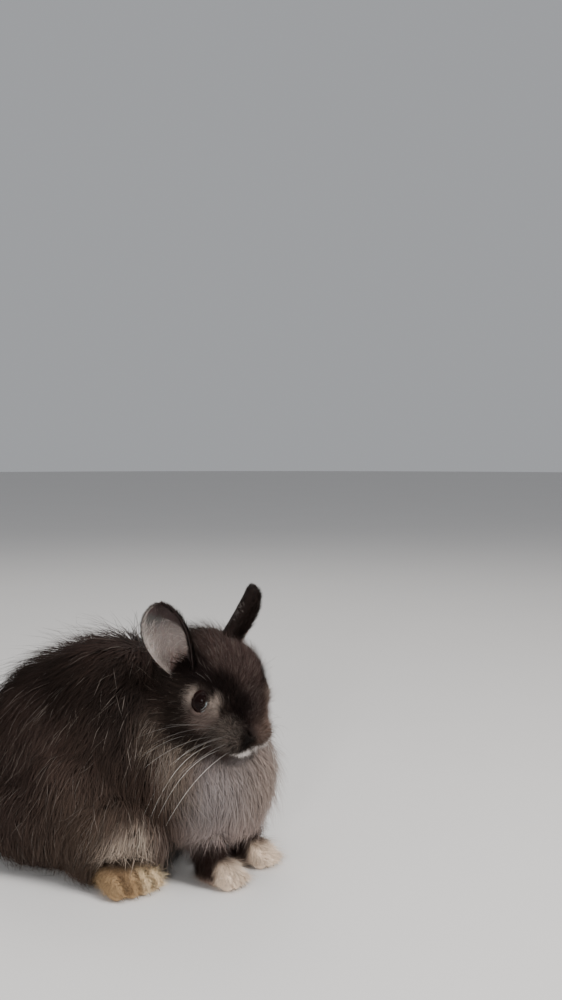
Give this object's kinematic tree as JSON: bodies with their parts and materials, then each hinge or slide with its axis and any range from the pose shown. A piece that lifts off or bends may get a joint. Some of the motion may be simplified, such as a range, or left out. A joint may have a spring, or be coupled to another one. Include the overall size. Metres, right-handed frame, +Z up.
{
  "type": "netherland dwarf rabbit still model",
  "caption": "Life-size still model of a fluffy dark netherland dwarf rabbit sitting on all fours, its head turned to its right, short ears spread.",
  "frame": {"origin": "middle of the model's box, at the floor", "axes": "+Z up, -Y the way the body faces, +X the animal's left; the head is turned 21 degrees to its right"},
  "size_m": [0.1342, 0.1858, 0.1458],
  "materials": {
    "coat": "long, soft near-black brown hair, silvery at some tips",
    "bib": "soft grey-lilac hair of the chest",
    "ear": "short hair, dark brown outside and silver-grey inside",
    "paw": "short dense hair, dark brown legs and tan toes",
    "eye": "wet gloss, near-black brown"
  },
  "bodies": {
    "root": {"head": "coat", "ear_left": "ear", "ear_right": "ear", "eye_left": "eye", "eye_right": "eye", "neck": "coat", "chest": "bib", "torso": "coat", "haunch_left": "coat", "haunch_right": "coat", "tail": "coat", "foreleg_left": "paw", "foreleg_right": "paw", "hindfoot_left": "paw", "hindfoot_right": "paw"}
  },
  "joints": []
}
